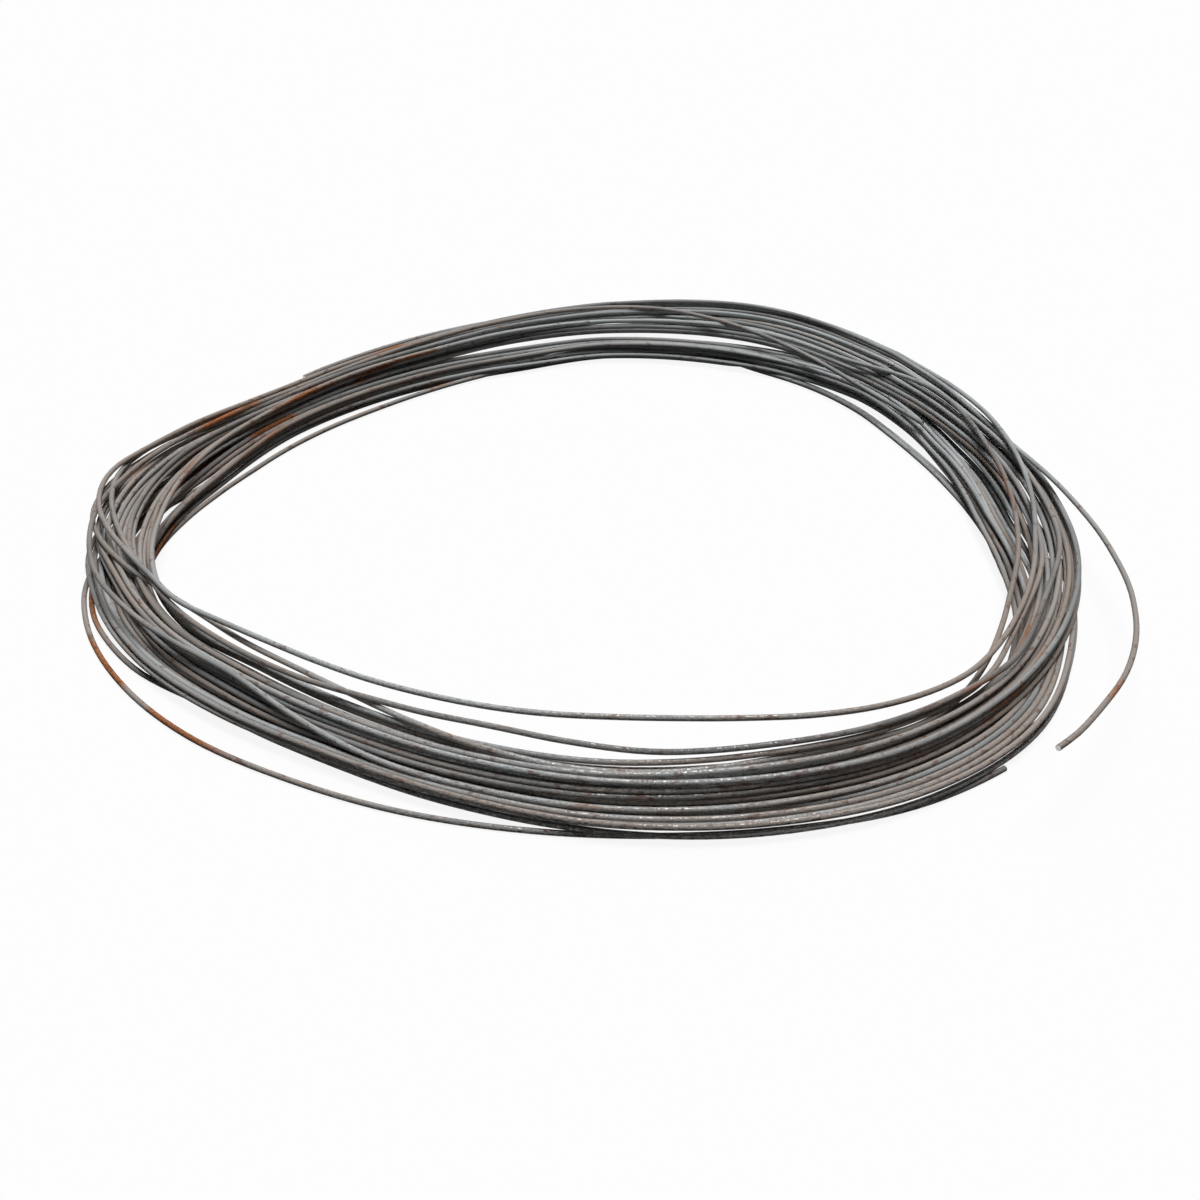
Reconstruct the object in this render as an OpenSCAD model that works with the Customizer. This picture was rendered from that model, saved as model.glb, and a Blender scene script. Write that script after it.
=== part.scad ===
// Coil of bare steel wire, lying flat on the floor.
// The origin is at the centre of the coil's bore, on the floor, with +Z up.
// Azimuth 0 is along +X, and -Y is the side that shows in front.

/* [Wire] */
// Diameter of the wire
wire_d = 2; // [1:0.1:4]

/* [Coil] */
// Diameter of the open middle of the coil
bore_d = 312; // [150:1:600]
// Turns that lie side by side across the coil
turns_across = 14; // [4:1:30]
// Turns that lie on top of each other
turns_high = 8; // [3:1:20]

/* [Free stretches] */
// Gap between the coil and a free stretch where the stretch leaves it
seat_gap = 0.3; // [0.1:0.1:1]

/* [Hidden] */

wire_r = wire_d / 2;
bore_r = bore_d / 2;
outer_r = bore_r + turns_across * wire_d;
coil_h = turns_high * wire_d;
// Depth of the groove between two turns that lie side by side
groove = 0.3 * wire_d;
// Rings of the swept tubes between two points of a route
rings_per_step = 4;
tube_sides = 8;
coil_sides = 180;
steel = [0.44, 0.44, 0.43];

// The loose turn leaves the outside of the coil at the back left, runs round the front on the
// floor and ends at the front right.
// Each point: azimuth, gap to the coil's outside, height of the wire's underside above the floor.
loose_route = [
    [166, seat_gap, 0], [178, 7, 0], [190, 12.5, 0], [202, 14.5, 0],
    [214, 13, 0], [226, 10, 0], [238, 6, 0], [250, 4.5, 0],
    [262, 4, 0], [274, 5.5, 0], [286, 9.5, 0], [298, 15, 0], [309, 16.5, 0]
];

// The free end leaves the top of the coil at the right and springs outwards and up.
// Each point: azimuth, distance of the wire's centre from the coil's outside, gap to the coil's top.
end_route = [
    [24, -17, seat_gap], [10, -13, seat_gap], [356, -4, 1], [344, 7.5, 2],
    [333, 19.5, 4], [323, 29.5, 6], [314, 36.5, 9], [306, 43.5, 12.5]
];

// Value between b and c at the share t of the way, on a smooth line from a to d
function blend(a, b, c, d, t) =
    b + 0.5 * t * (c - a + t * (2 * a - 5 * b + 4 * c - d + t * (3 * (b - c) + d - a)));

// Azimuths along a route, each within half a turn of the one before
function unwrap(list, i = 0, last = 0) =
    i == len(list) ? [] :
    let (a = i == 0 ? list[0][0] : last + ((list[i][0] - last + 540) % 360) - 180)
    concat([[a, list[i][1], list[i][2]]], unwrap(list, i + 1, a));

// Points on the smooth line through a route
function smooth(list) = concat(
    [for (i = [0:len(list) - 2], k = [0:rings_per_step - 1])
        blend(list[max(i - 1, 0)], list[i], list[i + 1],
            list[min(i + 2, len(list) - 1)], k / rings_per_step)],
    [list[len(list) - 1]]);

// Point at an azimuth, a radius and a height
function at(azimuth, radius, height) = [radius * cos(azimuth), radius * sin(azimuth), height];

function unit(v) = v / norm(v);

// Wire swept along a line of points
module tube(line) {
    last = len(line) - 1;
    points = [
        for (i = [0:last])
            let (along = unit(line[min(i + 1, last)] - line[max(i - 1, 0)]))
            let (side = unit(cross(along, [0, 0, 1])))
            let (up = cross(side, along))
            for (k = [0:tube_sides - 1])
                let (turn = (k + 0.5) * 360 / tube_sides)
                line[i] + wire_r * (cos(turn) * side + sin(turn) * up)
    ];
    start_cap = [[for (k = [0:tube_sides - 1]) k]];
    end_cap = [[for (k = [tube_sides - 1:-1:0]) last * tube_sides + k]];
    walls = [
        for (i = [0:last - 1], k = [0:tube_sides - 1])
            let (a = i * tube_sides + k)
            let (b = i * tube_sides + (k + 1) % tube_sides)
            for (face = [[b, a, a + tube_sides], [b, a + tube_sides, b + tube_sides]]) face
    ];
    polyhedron(points, concat(start_cap, end_cap, walls));
}

// Half of the coil's section: a solid core with a round ridge for each turn that shows
module coil_section() {
    translate([bore_r, groove])
        square([outer_r - groove - bore_r, coil_h - 2 * groove]);
    // Straight wall that a peg or spindle bears on
    translate([bore_r, 0])
        square([wire_r, coil_h]);
    for (column = [0.5:turns_across], height = [wire_r, coil_h - wire_r])
        translate([bore_r + column * wire_d, height])
            circle(wire_r, $fn = 32);
    for (row = [0.5:turns_high])
        translate([outer_r - wire_r, row * wire_d])
            circle(wire_r, $fn = 32);
}

// The turns that lie together
module wire_coil() {
    color(steel)
        rotate_extrude($fn = coil_sides)
            coil_section();
}

// The outermost turn, which lies loose on the floor
module loose_turn() {
    color(steel)
        tube([for (p = smooth(unwrap(loose_route))) at(p[0], outer_r + p[1] + wire_r, p[2] + wire_r)]);
}

// The end of the wire that springs off the top of the coil
module free_end() {
    color(steel)
        tube([for (p = smooth(unwrap(end_route))) at(p[0], outer_r + p[1], coil_h + p[2] + wire_r)]);
}

wire_coil();
loose_turn();
free_end();
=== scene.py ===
"""Loose coil of bare steel wire, lying flat, with its finish, camera and studio stage.

Two lengths of the same wire are wound together: an upper coil that lies over a lower one. Each is one
swept mesh. Azimuth 0 is along +X, azimuths grow anticlockwise seen from above, and -Y is the front.
"""

import math

import bpy
import numpy as np
from bpy.props import FloatProperty, FloatVectorProperty, IntProperty, PointerProperty
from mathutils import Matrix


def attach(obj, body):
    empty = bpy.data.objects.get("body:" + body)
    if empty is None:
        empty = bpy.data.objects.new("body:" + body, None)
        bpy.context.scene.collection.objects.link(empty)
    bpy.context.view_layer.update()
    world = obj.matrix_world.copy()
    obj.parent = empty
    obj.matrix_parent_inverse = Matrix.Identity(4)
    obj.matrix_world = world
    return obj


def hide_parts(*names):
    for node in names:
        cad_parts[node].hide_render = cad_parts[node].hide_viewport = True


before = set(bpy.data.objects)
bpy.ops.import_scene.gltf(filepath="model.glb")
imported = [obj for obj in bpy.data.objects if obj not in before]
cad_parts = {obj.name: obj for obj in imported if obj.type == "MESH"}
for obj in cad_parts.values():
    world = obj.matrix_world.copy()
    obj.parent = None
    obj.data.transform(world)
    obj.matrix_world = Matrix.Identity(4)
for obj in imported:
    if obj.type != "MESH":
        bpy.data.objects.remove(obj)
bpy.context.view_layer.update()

bl_info = {
    "name": "Wire coil",
    "version": (1, 0, 0),
    "blender": (4, 5, 0),
    "location": "3D View > Sidebar > Wire Coil",
    "description": "Builds a loose coil of bare steel wire and a studio stage for it",
    "category": "Object",
}

UV_MAP = "OFBake"
BODY = "root"
MM = 0.001
FULL_TURN = 360

# The winding is worked out at whole steps of azimuth, so that every turn meets the same sections.
STEP = 3
SECTIONS = FULL_TURN // STEP
RINGS_PER_STEP = 2

# Where the two coils lie, in millimetres from the coil's centre.
# Each row: azimuth, inner and outer radius of the lower coil, inner and outer radius of the upper coil.
STATIONS = (
    (0, 145.5, 168, 160.5, 178),
    (22, 147.5, 169, 160, 176),
    (33, 153.5, 174, 161.5, 182),
    (45, 159.5, 178, 165, 191),
    (68, 160, 174, 175, 206),
    (90, 158, 169.5, 171, 192),
    (105, 150.7, 163, 164.5, 178.5),
    (120, 150.2, 162, 158, 168.7),
    (135, 151.5, 164, 158, 166.3),
    (150, 155, 169, 160, 171),
    (168, 159, 183, 167, 190),
    (185, 170, 197, 171, 196),
    (198, 177, 195, 173, 188),
    (212, 176, 190, 171, 182),
    (225, 171, 184, 163.5, 177),
    (240, 168, 180, 162.5, 175),
    (255, 169, 184, 166, 178),
    (270, 173, 191.5, 171, 183),
    (285, 177, 197.3, 173.5, 187),
    (300, 180, 201, 177, 190),
    (315, 178, 198, 177, 188),
    (330, 167, 187, 170.5, 185),
    (345, 153.5, 177.3, 164, 182),
)
LOWER_COLUMN = 1
UPPER_COLUMN = 3
LOWER_TURNS = 19
UPPER_TURNS = 17
# Heights of the first and the last turn in millimetres, before the turns settle on each other.
LOWER_HEIGHTS = (7, 1)
UPPER_HEIGHTS = (15.5, 8)
# Where each wire starts on its way back and forth across the coil, in radians.
LOWER_PHASE = 2.0
UPPER_PHASE = 0.6
# Distance of two turns that lie side by side with a little air between them, in millimetres.
SIDE_BY_SIDE = 2.1

# Routes of the stretches that leave the coils or can be told apart on them.
# Each point: azimuth, radius and height of the wire's centre in millimetres.
# FREE_END and LOOSE_TURN follow the routes of the solids that they stand for.
FREE_END = (
    (-54, 227.5, 29.5), (-46, 220.5, 26), (-37, 213.5, 23), (-27, 203.5, 21),
    (-16, 191.5, 19), (-4, 180, 18), (10, 171, 17.3), (24, 167, 17.3),
)
TOP_TURN = (
    (150, 170, 16), (160, 179, 16), (165, 184, 16), (170, 190, 16), (175, 195.5, 16), (180, 196, 16),
    (185, 193, 16.5), (190, 188, 17), (196, 181, 17), (203, 175, 17.5), (210, 171.5, 19), (218, 164.5, 20),
    (226, 159, 20), (235, 156, 20), (248, 154.4, 20), (260, 154.6, 20), (270, 155.2, 20),
    (278, 157.5, 20), (286, 162, 20), (293, 167.5, 20), (300, 172.5, 20), (307, 175.5, 20),
    (313, 175.5, 19.5), (320, 172.5, 19), (327, 169, 18), (336, 166, 18), (347, 163.5, 18),
    (359, 164.5, 18), (370, 167.5, 18), (380, 171.5, 18), (392, 177, 18), (404, 183, 18),
)
SECOND_TURN = (
    (128, 160, 14), (142, 165, 14), (152, 171, 14), (159, 178, 14), (163, 183, 14), (168, 189.5, 14),
    (174, 193, 14), (180, 191.5, 14), (187, 186, 14.5), (193, 181, 15), (200, 176, 16), (210, 172.5, 17),
    (222, 167.5, 17.5), (233, 164.3, 18), (241, 161.6, 18), (249, 161, 18), (257, 161.5, 18),
    (265, 165.5, 18), (275, 171.5, 18), (287, 174.5, 18), (299, 178.5, 18), (309, 180, 18),
    (318, 180.5, 18), (325, 177, 18), (332, 173, 18), (342, 168.5, 17), (352, 168, 16.5),
)
THIRD_TURN = (
    (136, 162, 13), (150, 171, 13), (161, 181, 13), (170, 190.5, 13), (177, 196, 14), (184, 197, 14),
    (190, 191.5, 14), (197, 182.5, 14.5), (203, 174.5, 15.5), (212, 167, 17), (220, 163, 17),
    (230, 160, 17), (239, 160.7, 17), (247, 164, 16.5), (255, 169, 16), (265, 174, 14.5), (277, 178, 13),
    (292, 181, 12),
)
INNER_CROSSING = (
    (293, 184, 12), (301, 184, 13), (309, 178.5, 14), (317, 172.5, 14.5), (325, 166, 15), (333, 161, 15.5),
    (342, 158.5, 16), (352, 157, 16.5), (363, 157.5, 17), (374, 160, 17), (384, 165, 17), (393, 170.5, 17),
    (402, 177.5, 17), (411, 184, 17),
)
BESIDE_TOP_TURN = (
    (306, 179, 15), (315, 176.5, 15), (322, 172.5, 15), (330, 169, 15), (339, 166.5, 15), (349, 165.5, 15),
)
START_OVER_TOP = (
    (27, 151, 11.5), (34, 150.5, 12), (41, 152, 12.5), (48, 156, 13), (56, 162, 14), (64, 169, 15),
    (72, 176, 16), (82, 181, 17), (94, 179, 17), (106, 172, 16.5), (120, 165, 16), (134, 162.5, 15),
    (146, 165.5, 14), (158, 175, 13.5), (169, 186, 13.5), (178, 193, 13.5), (184, 195.5, 14),
    (191, 195.5, 14), (198, 193.5, 14), (205, 188.5, 14), (212, 183, 14), (219, 177.5, 14), (227, 173, 14),
    (238, 171.5, 13.5), (250, 173, 12.5),
)
CUT_END = (
    (85, 193, 14), (98, 183, 14.5), (110, 176, 15), (122, 171.5, 15.5), (131, 170, 15.5), (141, 170.5, 15),
)
LONE_INNER_LEFT = (
    (92, 156, 1), (100, 152.7, 1), (108, 150, 1), (116, 147.2, 1), (124, 145.2, 1), (134, 144.5, 1),
    (144, 146.3, 1), (154, 149.3, 1), (163, 153, 1), (171, 158.7, 1), (178, 165, 1), (186, 172, 1),
    (194, 176.5, 1), (203, 178, 1), (212, 177, 1),
)
LONE_INNER_RIGHT = (
    (-36, 166, 2), (-25, 159, 1.5), (-14, 153.5, 1), (-5, 149, 1), (3, 145.5, 1), (13, 143, 1),
    (24, 143, 1), (33, 145.5, 1), (42, 150.5, 1), (52, 155.5, 1), (61, 159, 1), (72, 161, 1.5),
    (86, 160, 2),
)
BESIDE_LONE = tuple(
    (azimuth, radius + SIDE_BY_SIDE, height) for azimuth, radius, height in LONE_INNER_RIGHT)
SECOND_INNER_RIGHT = (
    (-30, 164, 3), (-20, 156.5, 3), (-10, 150.5, 3), (0, 147, 3), (9, 146, 3), (17, 146.5, 3),
    (24, 149, 3), (31, 153.5, 3), (38, 158, 3), (46, 161.5, 3), (57, 163, 3), (70, 162.5, 3),
)
MIDDLE_RIGHT = (
    (-30, 172.5, 6), (-15, 163.8, 5), (-6, 157.9, 4), (1, 155.2, 4), (9, 155, 4), (20, 156.8, 4),
    (35, 163.3, 5), (50, 169.5, 6),
)
OUTER_RIGHT = (
    (-55, 203, 4), (-45, 198, 4), (-30, 187.3, 4), (-15, 177.6, 4), (0, 168, 4), (15, 168, 4),
)
OUTER_LEFT = (
    (182, 195, 1), (191, 197.5, 1), (199, 196, 1), (205, 194, 1), (211, 191, 1), (217, 187, 1),
    (223, 183, 1), (231, 178.5, 1),
)
LOOSE_TURN = (
    (166, 186, 1), (178, 192, 1), (190, 197.5, 1), (202, 199.5, 1), (214, 198, 1), (226, 195, 1),
    (238, 191, 1), (250, 189.5, 1), (262, 189, 1), (274, 190.5, 1), (286, 194.5, 1), (298, 200, 1),
    (309, 201.5, 1),
)

# How warm the steel's grey is round the coil, from 0, blue grey, to 1, brown grey. The brown is darker, so
# the warmth at 0, on the right, is also raised as painted shade.
WARMTH_AND_SHADE = ((0, 0.4), (45, 0.25), (90, 0.3), (135, 0.48), (180, 0.53), (225, 0.38), (270, 0.44), (315, 0.6))
# How rough and pitted the wire is round the coil, from 0 to 1; at the front it also paints a highlight.
PITTING = ((0, 0.1), (45, 0), (90, 0), (135, 0), (180, 0), (225, 0.55), (270, 1), (315, 0.55))
# How readily rust takes round the coil, from 0 to 1.
RUSTING = ((0, 0.3), (45, 0.1), (90, 0.25), (120, 0.4), (150, 0.42), (180, 0.4), (225, 0.3), (270, 0.22),
           (315, 0.38))
# Stretches where rust shows more: the wire, the turn, the first and the last azimuth and how much.
RUST_STREAKS = (
    ("lower_wire", LOWER_TURNS, 203, 214, 1.0), ("lower_wire", LOWER_TURNS, 216, 236, 0.5),
    ("lower_wire", 11, 194, 205, 0.6), ("lower_wire", 8, 118, 126, 0.7), ("lower_wire", 7, 181, 189, 0.9),
    ("lower_wire", 18, 180, 190, 0.8), ("lower_wire", 6, 161, 169, 0.9), ("lower_wire", 15, 150, 170, 0.7),
    ("lower_wire", 1, 148, 158, 0.6), ("lower_wire", 0, 150, 162, 0.6), ("upper_wire", 3, 138, 156, 0.6),
    ("upper_wire", 6, 148, 157, 0.5), ("upper_wire", 1, 124, 158, 0.4), ("upper_wire", 2, 350, 392, 0.4),
    ("upper_wire", 10, 312, 318, 0.5), ("upper_wire", 6, 320, 326, 0.4), ("upper_wire", 5, 286, 293, 0.4),
    ("upper_wire", 0, -46, -32, 0.2),
)


def blend(a, b, c, d, t):
    """Values between b and c at the shares t, on smooth lines that pass from a to d."""
    return b + 0.5 * t * (c - a + t * (2 * a - 5 * b + 4 * c - d + t * (3 * (b - c) + d - a)))


def ease(t):
    """Shares from 0 to 1 with a soft start and end."""
    t = np.clip(t, 0, 1)
    return t * t * (3 - 2 * t)


def around(rows, column, azimuths):
    """Values of a table's column at azimuths, on a smooth closed line round the coil."""
    table = np.array(rows, float)
    stops = np.concatenate([table[-2:, 0] - FULL_TURN, table[:, 0], table[:3, 0] + FULL_TURN])
    values = np.concatenate([table[-2:, column], table[:, column], table[:3, column]])
    wrapped = np.mod(azimuths, FULL_TURN)
    i = np.searchsorted(stops, wrapped, side="right") - 1
    share = (wrapped - stops[i]) / (stops[i + 1] - stops[i])
    return blend(values[i - 1], values[i], values[i + 1], values[i + 2], share)


def along(route, azimuths):
    """Radius and height of a route at azimuths, on a smooth open line."""
    last = len(route) - 1
    i = np.clip(np.searchsorted(route[:, 0], azimuths, side="right") - 1, 0, last - 1)
    share = np.clip((azimuths - route[i, 0]) / (route[i + 1, 0] - route[i, 0]), 0, 1)[:, None]
    ahead = np.minimum(i + 2, last)
    return blend(route[np.maximum(i - 1, 0), 1:], route[i, 1:], route[i + 1, 1:], route[ahead, 1:], share)


def wander(draw, count, spacing):
    """Smooth random line of count values that turns about every spacing values."""
    knots = draw.normal(size=int(count / spacing) + 5)
    place = np.arange(count) / spacing
    i = place.astype(int)
    return blend(knots[i], knots[i + 1], knots[i + 2], knots[i + 3], place - i)


def back_and_forth(angle):
    """Wave from -1 to 1 with even slopes and eased ends, as a winder lays turns side by side."""
    evenness = 0.97
    return np.arcsin(evenness * np.sin(angle)) / np.arcsin(evenness)


def wind(draw, column, first, last, heights, phase, routes):
    """Azimuths, radii and heights of one wire's steps, and how firmly each is held to a route."""
    turns_across_and_back = 5.4
    lane_wander, lane_spacing, lane_limit = 0.16, 24, 1.1
    height_wander, height_spacing = 0.7, 28
    edge = bpy.context.scene.coil_wire.diameter / MM / 2
    count = round((last - first) / STEP) + 1
    azimuths = first + STEP * np.arange(count)
    inner = around(STATIONS, column, azimuths) + edge
    outer = around(STATIONS, column + 1, azimuths) - edge
    angle = math.tau * (azimuths - first) / FULL_TURN / turns_across_and_back + phase
    lane = back_and_forth(angle) + lane_wander * wander(draw, count, lane_spacing)
    radii = (inner + outer) / 2 + np.clip(lane, -lane_limit, lane_limit) * (outer - inner) / 2
    levels = np.linspace(*heights, count) + height_wander * wander(draw, count, height_spacing)
    held = np.zeros(count)
    for points, turn, fade_in, fade_out in routes:
        route = np.array(points, float) + (FULL_TURN * turn, 0, 0)
        start, end = route[0, 0], route[-1, 0]
        weight = ((azimuths >= start) & (azimuths <= end)).astype(float)
        if fade_in:
            weight *= ease((azimuths - start) / fade_in)
        if fade_out:
            weight *= ease((end - azimuths) / fade_out)
        place = along(route, azimuths)
        radii += weight * (place[:, 0] - radii)
        levels += weight * (place[:, 1] - levels)
        held = np.maximum(held, weight)
    return azimuths, radii, levels, held


def pairs_in_sections(azimuths):
    """Index pairs of all the wire steps that lie in the same section of the coil."""
    section = np.round(azimuths / STEP).astype(int) % SECTIONS
    first, second = [], []
    for k in range(SECTIONS):
        members = np.where(section == k)[0]
        i, j = np.triu_indices(len(members), 1)
        first.append(members[i])
        second.append(members[j])
    return np.concatenate(first), np.concatenate(second)


def settle(wires, diameter):
    """Pushes turns that lie in each other apart and lets them rest on each other and on the floor."""
    rounds, closing_rounds, closing_pause = 240, 40, 4
    smoothings = 3
    clearance = 1.01 * diameter
    pace, firmness = 0.7, 0.75
    nothing = 1e-9
    azimuths, radii, levels, held = (np.concatenate(parts) for parts in zip(*wires))
    levels = np.maximum(levels, diameter / 2)
    ends = np.cumsum([len(wire[0]) for wire in wires])
    a, b = pairs_in_sections(azimuths)
    count = len(azimuths)
    wanted = np.stack([radii, levels])
    place = wanted.copy()
    give = 1 - firmness * held
    inside = np.ones(count, bool)
    inside[np.concatenate([[0], ends[:-1], ends - 1])] = False

    def smoothed(moves):
        """Moves evened out along each wire, with its ends left as they are."""
        even = moves.copy()
        even[:, 1:-1] = (moves[:, :-2] + 2 * moves[:, 1:-1] + moves[:, 2:]) / 4
        return np.where(inside, even, moves)

    for k in range(rounds):
        gap = place[:, a] - place[:, b]
        apart = np.linalg.norm(gap, axis=0) + nothing
        overlap = np.clip(clearance - apart, 0, None)
        push = 0.5 * overlap * gap / apart
        touching = (overlap > 0).astype(float)
        met = np.bincount(a, touching, count) + np.bincount(b, touching, count)
        rate = pace * give / np.sqrt(np.maximum(met, 1))
        for axis in (0, 1):
            moved = np.bincount(a, push[axis], count) - np.bincount(b, push[axis], count)
            place[axis] += rate * moved
        # The closing rounds even the wires out less often, so that the last overlaps can go.
        closing = k >= rounds - closing_rounds
        if not closing or k % closing_pause == 0:
            moves = place - wanted
            for _ in range(1 if closing else smoothings):
                moves = smoothed(moves)
            place = wanted + moves
        place[1] = np.maximum(place[1], diameter / 2)
    cuts = ends[:-1]
    return list(zip(np.split(azimuths, cuts), np.split(place[0], cuts), np.split(place[1], cuts)))


def finer(values, times):
    """The values with times - 1 more between each two, on a smooth line."""
    padded = np.concatenate([2 * values[:1] - values[1:2], values, 2 * values[-1:] - values[-2:-1]])
    parts = [blend(padded[:-3], padded[1:-2], padded[2:-1], padded[3:], k / times) for k in range(times)]
    return np.append(np.stack(parts, 1).ravel(), values[-1])


def wire_paths():
    """Azimuths and centreline points, in metres, of the upper and the lower wire."""
    wire = bpy.context.scene.coil_wire
    draw = np.random.default_rng(wire.seed)
    upper_first, upper_last = FREE_END[0][0], CUT_END[-1][0] + FULL_TURN * wire.upper_turns
    lower_first, lower_last = START_OVER_TOP[0][0], LOOSE_TURN[-1][0] + FULL_TURN * wire.lower_turns
    # Each route: its points, the turn that it is on, and the azimuth over which it fades in and out.
    upper = wind(draw, UPPER_COLUMN, upper_first, upper_last, UPPER_HEIGHTS, UPPER_PHASE, (
        (FREE_END, 0, 0, 16),
        (TOP_TURN, 0, 25, 25),
        (SECOND_TURN, 1, 30, 25),
        (THIRD_TURN, 2, 30, 30),
        (INNER_CROSSING, 2, 25, 25),
        (BESIDE_TOP_TURN, 3, 20, 20),
        (CUT_END, wire.upper_turns, 25, 0),
    ))
    lower = wind(draw, LOWER_COLUMN, lower_first, lower_last, LOWER_HEIGHTS, LOWER_PHASE, (
        (START_OVER_TOP, 0, 0, 30),
        (LONE_INNER_LEFT, 8, 20, 15),
        (LONE_INNER_RIGHT, 12, 25, 25),
        (BESIDE_LONE, 14, 25, 25),
        (SECOND_INNER_RIGHT, 9, 20, 20),
        (MIDDLE_RIGHT, 1, 15, 15),
        (OUTER_RIGHT, 10, 15, 15),
        (OUTER_LEFT, 11, 20, 20),
        (LOOSE_TURN, wire.lower_turns, 30, 0),
    ))
    paths = []
    for azimuths, radii, levels in settle([upper, lower], wire.diameter / MM):
        azimuths = finer(azimuths, RINGS_PER_STEP)
        radii = finer(radii, RINGS_PER_STEP)
        angle = np.radians(azimuths)
        points = np.stack([radii * np.cos(angle), radii * np.sin(angle), finer(levels, RINGS_PER_STEP)], 1)
        paths.append((azimuths, points * MM))
    return paths


def wire_mesh(name, azimuths, points, start):
    """Mesh of a wire along points, with flat cut ends; start is where its own length begins to count."""
    wire = bpy.context.scene.coil_wire
    radius, sides = wire.diameter / 2, wire.sides
    edge = 0.1 * radius
    forward = np.gradient(points, axis=0)
    forward /= np.linalg.norm(forward, axis=1, keepdims=True)
    side = np.cross(forward, (0, 0, 1))
    side /= np.linalg.norm(side, axis=1, keepdims=True)
    up = np.cross(side, forward)
    lengths = np.append(0, np.cumsum(np.linalg.norm(np.diff(points, axis=0), axis=1)))

    # Each end is cut flat, with a narrow edge that the cutter rounded.
    centres = np.concatenate([points[:1], points[:1] + edge * forward[:1], points[1:-1],
                              points[-1:] - edge * forward[-1:], points[-1:]])
    ring = np.concatenate([[0, 0], np.arange(1, len(points) - 1), [len(points) - 1] * 2])
    radii = np.full(len(centres), radius)
    radii[[0, -1]] -= edge
    turn = math.tau * np.arange(sides) / sides
    across = np.stack([np.cos(turn), np.sin(turn)], 1)
    skin = across[None, :, :1] * side[ring][:, None] + across[None, :, 1:] * up[ring][:, None]
    vertices = centres[:, None] + radii[:, None, None] * skin

    rings = len(centres)
    corner = np.arange(rings * sides).reshape(rings, sides)
    beside = np.roll(corner, -1, axis=1)
    walls = np.stack([corner[:-1], beside[:-1], beside[1:], corner[1:]], 2).reshape(-1, 4)
    mesh = bpy.data.meshes.new(name)
    faces = [*walls.tolist(), corner[0, ::-1].tolist(), corner[-1].tolist()]
    mesh.from_pydata(vertices.reshape(-1, 3).tolist(), [], faces)
    smooth = np.ones(len(faces), bool)
    smooth[-2:] = False
    mesh.polygons.foreach_set("use_smooth", smooth)
    for cut_face in mesh.polygons[-2:]:
        cut_face.material_index = 1

    # Coordinates on the wire as if it were pulled straight, and what its place on the coil does to it.
    straight = np.empty((rings, sides, 3))
    straight[..., 0] = (start + lengths[ring])[:, None]
    straight[..., 1:] = radius * across
    store(mesh, "straight", "FLOAT_VECTOR", "vector", straight)
    for attribute, values in wear(name, azimuths).items():
        store(mesh, attribute, "FLOAT", "value", np.repeat(values[ring], sides))
    lay_out(mesh, rings, sides, lengths[-1] / (math.tau * radius))
    mesh.update()
    return mesh


def wear(name, azimuths):
    """How warm, pitted and rusty a wire is at each of its azimuths; the warmth also holds some painted
    shade.
    """
    # A streak has half its strength at its ends and is gone a quarter of its length past them.
    reach = 1.5
    rusting = around(RUSTING, 1, azimuths)
    for wire_name, turn, first, last, amount in RUST_STREAKS:
        if wire_name == name:
            middle = FULL_TURN * turn + (first + last) / 2
            away = np.abs(azimuths - middle) / ((last - first) / 2)
            rusting += amount * ease(reach - away)
    return {
        "warmth_and_shade": around(WARMTH_AND_SHADE, 1, azimuths),
        "pitting": around(PITTING, 1, azimuths),
        "rusting": rusting,
    }


def lay_out(mesh, rings, sides, slimness):
    """Maps the wire in straight rows that fill a square; slimness is its length over its girth."""
    rows = round(math.sqrt(slimness))
    steps = math.ceil((rings - 1) / rows)
    margin = 0.05
    step = np.arange(rings - 1)[:, None, None]
    girth = (np.arange(sides)[:, None] + (0, 1, 1, 0)) / sides
    walls = np.empty((rings - 1, sides, 4, 2))
    walls[..., 0] = (step % steps + np.array((0, 0, 1, 1))) / steps
    walls[..., 1] = (step // steps + margin + (1 - 2 * margin) * girth) / (rows + 1)
    # The two cut faces lie side by side in one more row.
    turn = math.tau * np.arange(sides) / sides
    disc = 0.5 + (0.5 - margin) * np.stack([np.cos(turn), np.sin(turn)], 1)
    cuts = np.concatenate([disc[::-1] + (0, rows), disc + (1, rows)]) / (rows + 1)
    places = np.concatenate([walls.reshape(-1, 2), cuts])
    mesh.uv_layers.new(name=UV_MAP).data.foreach_set("uv", places.ravel())


def store(mesh, name, kind, field, values):
    """Writes one value for each vertex to a mesh attribute."""
    attribute = mesh.attributes.new(name, kind, "POINT")
    attribute.data.foreach_set(field, np.ascontiguousarray(values, np.float32).ravel())


class Value:
    """A socket of a node tree; arithmetic on it adds Math nodes."""

    def __init__(self, tree, socket):
        self.tree = tree
        self.socket = socket

    def maths(self, operation, first, second):
        """Result of a Math node."""
        return self.tree.add("ShaderNodeMath", {"operation": operation}, {0: first, 1: second})

    def __add__(self, other):
        return self.maths("ADD", self, other)

    def __sub__(self, other):
        return self.maths("SUBTRACT", self, other)

    def __rsub__(self, other):
        return self.maths("SUBTRACT", other, self)

    def __mul__(self, other):
        return self.maths("MULTIPLY", self, other)

    __radd__ = __add__
    __rmul__ = __mul__


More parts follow.
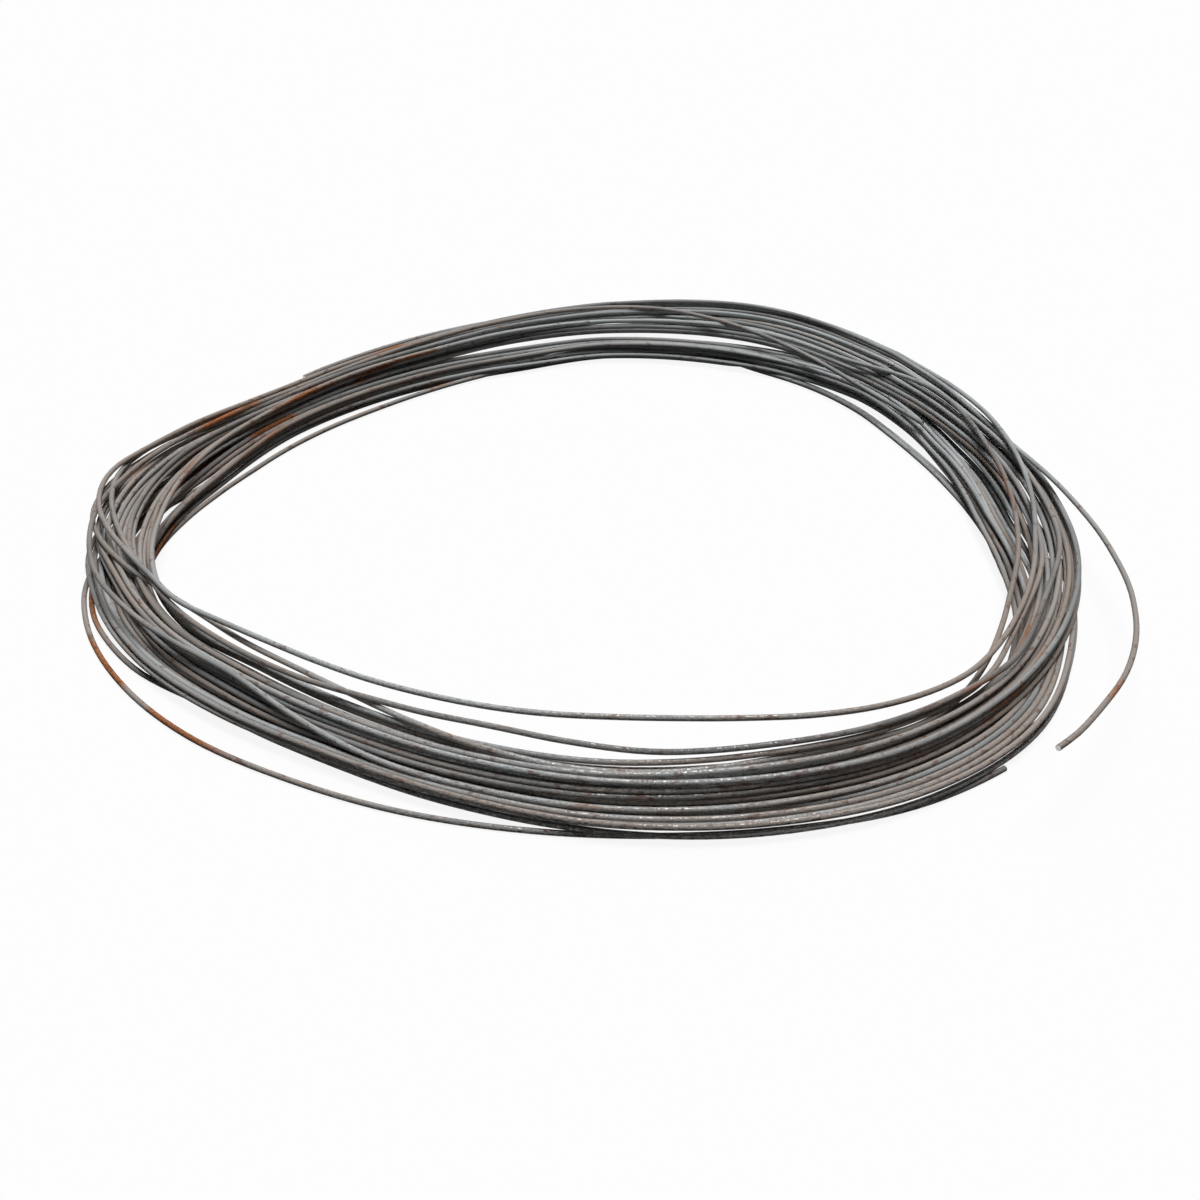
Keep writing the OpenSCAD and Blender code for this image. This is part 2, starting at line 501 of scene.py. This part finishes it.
class Tree:
    """The nodes of one material or world."""

    def __init__(self, owner):
        owner.use_nodes = True
        self.nodes = owner.node_tree.nodes
        self.links = owner.node_tree.links
        self.nodes.clear()

    def add(self, kind, settings=None, sockets=None, output=0):
        """Adds a node: its settings first, then its sockets' values or links. Returns one output."""
        node = self.nodes.new(kind)
        for name, setting in (settings or {}).items():
            setattr(node, name, setting)
        for name, value in (sockets or {}).items():
            if isinstance(value, Value):
                self.links.new(value.socket, node.inputs[name])
            else:
                node.inputs[name].default_value = value
        return Value(self, node.outputs[output])

    def show(self, surface, kind="ShaderNodeOutputMaterial"):
        """Makes a shader the one that shows."""
        self.links.new(surface.socket, self.nodes.new(kind).inputs["Surface"])

    def background_rays(self):
        """1 for rays that show the white background: those of the camera, of gloss and of glass."""
        camera, gloss, glass = (self.add("ShaderNodeLightPath", output=f"Is {kind} Ray")
                                for kind in ("Camera", "Glossy", "Transmission"))
        return camera + gloss + glass

    def attribute(self, name, output="Fac"):
        """What the mesh stores under a name."""
        return self.add("ShaderNodeAttribute", {"attribute_name": name}, output=output)

    def noise(self, vector, stretch, detail=2, roughness=0.5):
        """Noise on a vector that is first stretched by a scale on each axis."""
        scaled = self.add("ShaderNodeVectorMath", {"operation": "MULTIPLY"}, {0: vector, 1: stretch})
        sockets = {"Vector": scaled, "Scale": 1, "Detail": detail, "Roughness": roughness}
        return self.add("ShaderNodeTexNoise", None, sockets)

    def ramp(self, value, low, high):
        """Share from 0 to 1 as a value goes from low to high, with soft ends."""
        settings = {"interpolation_type": "SMOOTHSTEP"}
        sockets = {"Value": value, "From Min": low, "From Max": high}
        return self.add("ShaderNodeMapRange", settings, sockets)

    def mix(self, factor, first, second):
        """Colour between two colours."""
        factor_socket, first_socket, second_socket, colour_output = 0, 6, 7, 2
        sockets = {factor_socket: factor, first_socket: first, second_socket: second}
        return self.add("ShaderNodeMix", {"data_type": "RGBA"}, sockets, colour_output)


def colour(values):
    """Colour with full opacity, as a node's socket takes it."""
    return (*values, 1)


def steel_wire():
    """Bare drawn steel: dull grey of several tones, pitted, with brown oxide, rust, painted highlight and
    painted shade.
    """
    finish = bpy.context.scene.coil_finish
    material = bpy.data.materials.new("steel_wire")
    tree = Tree(material)
    straight = tree.attribute("straight", "Vector")
    warmth_and_shade = tree.attribute("warmth_and_shade")
    rusting = tree.attribute("rusting")

    # Stretches of the wire that differ in tone, each a turn or so long, and shorter clouds on them
    stretch_tone = tree.noise(straight, (1.7, 0, 0), 1)
    cloud = tree.noise(straight, (35, 180, 180), 3)
    # Fine lines that the drawing die left along the wire, and the grain of its skin
    drawn_line = tree.noise(straight, (60, 2600, 2600), 2)
    grain = tree.noise(straight, (1500, 1500, 1500), 2, 0.6)
    # Pitted stretches, with bright spots between their pits
    pitted = tree.ramp(tree.attribute("pitting") + 0.7 * tree.noise(straight, (3.1, 0, 0), 1), 0.75, 1.3)
    pits = tree.ramp(grain, 0.5, 0.62) * (0.15 + 0.85 * pitted)
    glint = tree.ramp(grain, 0.46, 0.37) * pitted

    # Pitted stretches, mostly at the front, are made paler too: a painted highlight.
    tone_and_highlight = tree.ramp(stretch_tone + 0.4 * cloud + 0.1 * pitted, 0.48, 0.92)
    steel = tree.mix(tone_and_highlight, colour(finish.dark_steel), colour(finish.pale_steel))
    # Brown is darker than grey, so where the warmth is raised for it, this also paints shade.
    brown = tree.ramp(warmth_and_shade + 1.4 * tree.noise(straight, (2.3, 0, 0), 1) + 0.6 * cloud, 1.3, 1.65)
    steel = tree.mix(brown * 0.8, steel, colour(finish.brown_oxide))
    steel = tree.mix(pits * 0.35, steel, colour(finish.pit))

    # Patches of rust with small dark specks beside them
    rust_patch = tree.noise(straight, (14, 120, 120), 3, 0.6)
    rust = tree.ramp(rust_patch + 0.34 * rusting, 0.72, 0.84)
    speck = tree.ramp(tree.noise(straight, (300, 600, 600), 2) + 0.1 * rusting + 0.03 * pitted, 0.66, 0.72)
    rust_colour = tree.mix(tree.ramp(grain, 0.3, 0.6), colour(finish.dark_rust), colour(finish.pale_rust))
    base = tree.mix(rust, steel, rust_colour)
    base = tree.mix(speck * 0.6, base, colour(finish.dark_rust))

    height = 0.12 * drawn_line + 0.05 * grain - 0.8 * pits * pitted
    bump = tree.add("ShaderNodeBump", None, {"Strength": 0.5, "Distance": 0.0002, "Height": height})
    shader = tree.add("ShaderNodeBsdfPrincipled", None, {
        "Base Color": base,
        "Metallic": 0.02 * (1 - rust),
        "Roughness": 0.46 + 0.25 * rust + 0.14 * cloud - 0.24 * pitted,
        "Specular IOR Level": 0.03,
        "Coat Weight": glint,
        "Coat Roughness": 0.18,
        "Coat IOR": 1.8,
        "Normal": bump,
    })
    tree.show(shader)
    return material


def cut_steel():
    """Bright steel where the wire was cut, with the marks of the cutter."""
    finish = bpy.context.scene.coil_finish
    material = bpy.data.materials.new("cut_steel")
    tree = Tree(material)
    place = tree.add("ShaderNodeTexCoord", output="Object")
    marks = tree.noise(place, (2500, 2500, 400))
    shade = tree.mix(tree.ramp(marks, 0.3, 0.7), colour(finish.pale_steel), colour(finish.cut_face))
    bump = tree.add("ShaderNodeBump", None, {"Strength": 0.3, "Distance": 0.0001, "Height": marks})
    shader = tree.add("ShaderNodeBsdfPrincipled", None, {
        "Base Color": shade,
        "Metallic": 0.8,
        "Roughness": 0.3 + 0.2 * marks,
        "Normal": bump,
    })
    tree.show(shader)
    return material


def studio_floor():
    """Pale floor that shows almost white and keeps the object's shadow."""
    stage = bpy.context.scene.coil_stage
    material = bpy.data.materials.new("studio_floor")
    tree = Tree(material)
    seen = tree.background_rays()
    shade = tree.mix(seen, colour(stage.floor), colour(stage.seen_floor))
    floor = tree.add("ShaderNodeBsdfDiffuse", None, {"Color": shade})
    white = tree.add("ShaderNodeEmission", None, {"Strength": 1.0})
    surface = tree.add("ShaderNodeMixShader", None, {0: seen * stage.whiteness, 1: floor, 2: white})
    tree.show(surface)
    return material


def studio_world():
    """Even soft light from all round, shown white behind the floor."""
    stage = bpy.context.scene.coil_stage
    world = bpy.data.worlds.new("studio_world")
    tree = Tree(world)
    plain_white = colour((1, 1, 1))
    fill = tree.add("ShaderNodeBackground", None, {"Color": plain_white, "Strength": stage.fill})
    white = tree.add("ShaderNodeBackground", None, {"Color": plain_white, "Strength": 1.0})
    seen = tree.background_rays()
    surface = tree.add("ShaderNodeMixShader", None, {0: seen, 1: fill, 2: white})
    tree.show(surface, "ShaderNodeOutputWorld")
    return world


def add_sun(scene, name, strength, width, tilt):
    """Adds a soft distant light; width is its size in the sky and tilt how it leans, in degrees."""
    sun = bpy.data.objects.new(name, bpy.data.lights.new(name, "SUN"))
    sun.data.energy = strength
    sun.data.angle = math.radians(width)
    sun.rotation_euler = [math.radians(angle) for angle in tilt]
    scene.collection.objects.link(sun)


class WireSizes(bpy.types.PropertyGroup):
    """Sizes of the wire and how much of it there is."""

    diameter: FloatProperty(
        name="Diameter", description="Diameter of the wire", default=0.002, unit="LENGTH")
    upper_turns: IntProperty(
        name="Upper turns", description="Whole turns of the upper coil", default=UPPER_TURNS, min=5)
    lower_turns: IntProperty(
        name="Lower turns", description="Whole turns of the lower coil", default=LOWER_TURNS, min=15)
    sides: IntProperty(
        name="Sides", description="Faces round the wire", default=12, min=6)
    seed: IntProperty(
        name="Seed", description="Seed of the turns' small wanderings", default=7)


class SteelFinish(bpy.types.PropertyGroup):
    """Colours of the steel, its oxide and its rust."""

    pale_steel: FloatVectorProperty(
        name="Pale steel", description="Clean drawn steel", subtype="COLOR", default=(0.54, 0.57, 0.578))
    dark_steel: FloatVectorProperty(
        name="Dark steel", description="Steel with grey scale on it", subtype="COLOR",
        default=(0.19, 0.188, 0.184))
    brown_oxide: FloatVectorProperty(
        name="Brown oxide", description="Thin brown bloom on the steel", subtype="COLOR",
        default=(0.37, 0.305, 0.26))
    pit: FloatVectorProperty(
        name="Pit", description="Bottom of the pits", subtype="COLOR", default=(0.11, 0.075, 0.06))
    pale_rust: FloatVectorProperty(
        name="Pale rust", description="Fresh orange rust", subtype="COLOR", default=(0.48, 0.195, 0.085))
    dark_rust: FloatVectorProperty(
        name="Dark rust", description="Old brown rust", subtype="COLOR", default=(0.17, 0.072, 0.042))
    cut_face: FloatVectorProperty(
        name="Cut face", description="Bright steel of a fresh cut", subtype="COLOR",
        default=(0.7, 0.7, 0.68))


class StudioStage(bpy.types.PropertyGroup):
    """The camera, the lights and the floor."""

    camera_height: FloatProperty(
        name="Camera height", description="Height of the camera above the floor", default=0.343,
        unit="LENGTH")
    camera_distance: FloatProperty(
        name="Camera distance", description="Distance of the camera in front of the coil's centre",
        default=0.603, unit="LENGTH")
    camera_side: FloatProperty(
        name="Camera side", description="Distance of the camera to the left of the coil's centre",
        default=0.002, unit="LENGTH")
    camera_pitch: FloatProperty(
        name="Camera pitch", description="How far the camera looks down", default=math.radians(32),
        subtype="ANGLE")
    lens: FloatProperty(
        name="Lens", description="Focal length of the camera", default=52.8, unit="CAMERA")
    sensor: FloatProperty(
        name="Sensor", description="Width of the camera's sensor", default=36, unit="CAMERA")
    key: FloatProperty(
        name="Key light", description="Strength of the soft light from above", default=2.65)
    back: FloatProperty(
        name="Back light", description="Strength of the soft light from behind", default=0.5)
    fill: FloatProperty(
        name="Fill light", description="Strength of the light from all round", default=0.02)
    floor: FloatVectorProperty(
        name="Floor", description="Colour of the floor as it lights the wire", subtype="COLOR",
        default=(0.03, 0.03, 0.03))
    seen_floor: FloatVectorProperty(
        name="Floor seen", description="Colour of the floor as it shows", subtype="COLOR",
        default=(0.9, 0.9, 0.9))
    whiteness: FloatProperty(
        name="Whiteness", description="Share of plain white in the floor as it shows", default=0.9,
        subtype="FACTOR")
    half_floor: FloatProperty(
        name="Half floor", description="Half the side of the floor", default=4, unit="LENGTH")


class WIRECOIL_OT_stage(bpy.types.Operator):
    """Set up the camera, the lights and the floor"""

    bl_idname = "wirecoil.stage"
    bl_label = "Studio stage"

    def execute(self, context):
        scene = context.scene
        stage = scene.coil_stage
        camera = bpy.data.objects.new("camera", bpy.data.cameras.new("camera"))
        camera.data.sensor_width = stage.sensor
        camera.data.lens = stage.lens
        camera.location = (-stage.camera_side, -stage.camera_distance, stage.camera_height)
        camera.rotation_euler = (math.pi / 2 - stage.camera_pitch, 0, 0)
        scene.collection.objects.link(camera)
        scene.camera = camera

        add_sun(scene, "key_light", stage.key, width=28, tilt=(-8, 4, 0))
        add_sun(scene, "back_light", stage.back, width=40, tilt=(-50, 0, 0))
        scene.world = studio_world()

        half = stage.half_floor
        corners = [(-half, -half, 0), (half, -half, 0), (half, half, 0), (-half, half, 0)]
        mesh = bpy.data.meshes.new("floor")
        mesh.from_pydata(corners, [], [(0, 1, 2, 3)])
        mesh.materials.append(studio_floor())
        floor = bpy.data.objects.new("floor", mesh)
        scene.collection.objects.link(floor)

        scene.view_settings.view_transform = "Standard"
        return {"FINISHED"}


class WIRECOIL_OT_wires(bpy.types.Operator):
    """Wind the two wires, lay them on each other and give them their finish"""

    bl_idname = "wirecoil.wires"
    bl_label = "Wires"

    def execute(self, context):
        finishes = steel_wire(), cut_steel()
        upper, lower = wire_paths()
        # The upper wire runs from its cut end at the back, and the lower one from its end on the coil.
        upper = [values[::-1] for values in upper]
        # The lower wire's own length, in metres, counts on from here, so that the finishes differ.
        past_upper_wire = 40
        self.lay(context, "upper_wire", upper, 0, ("wire_coil", "free_end"), finishes)
        self.lay(context, "lower_wire", lower, past_upper_wire, ("wire_coil", "loose_turn"), finishes)
        return {"FINISHED"}

    def lay(self, context, name, path, start, nodes, finishes):
        """Makes one wire from its path, puts it on the body and hides the parts that it stands for."""
        azimuths, points = path
        mesh = wire_mesh(name, azimuths, points, start)
        for finish in finishes:
            mesh.materials.append(finish)
        wire = bpy.data.objects.new(name, mesh)
        context.scene.collection.objects.link(wire)
        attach(wire, BODY)
        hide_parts(*nodes)


class WIRECOIL_PT_panel(bpy.types.Panel):
    """Lists the steps and the values that they use"""

    bl_idname = "WIRECOIL_PT_panel"
    bl_label = "Wire coil"
    bl_space_type = "VIEW_3D"
    bl_region_type = "UI"
    bl_category = "Wire Coil"

    def draw(self, context):
        for operator, group_names in STEPS:
            box = self.layout.box()
            box.operator(operator.bl_idname)
            for name in group_names:
                settings = getattr(context.scene, name)
                for key in settings.bl_rna.properties.keys():
                    if key not in ("rna_type", "name"):
                        box.prop(settings, key)


STEPS = (
    (WIRECOIL_OT_stage, ("coil_stage",)),
    (WIRECOIL_OT_wires, ("coil_wire", "coil_finish")),
)
GROUPS = {"coil_stage": StudioStage, "coil_wire": WireSizes, "coil_finish": SteelFinish}
CLASSES = (*GROUPS.values(), WIRECOIL_OT_stage, WIRECOIL_OT_wires, WIRECOIL_PT_panel)


def register():
    for item in CLASSES:
        bpy.utils.register_class(item)
    for name, group in GROUPS.items():
        setattr(bpy.types.Scene, name, PointerProperty(type=group))


def unregister():
    for name in GROUPS:
        delattr(bpy.types.Scene, name)
    for item in reversed(CLASSES):
        bpy.utils.unregister_class(item)


def main():
    register()
    bpy.ops.wirecoil.stage()
    bpy.ops.wirecoil.wires()


if __name__ == "__main__":
    main()
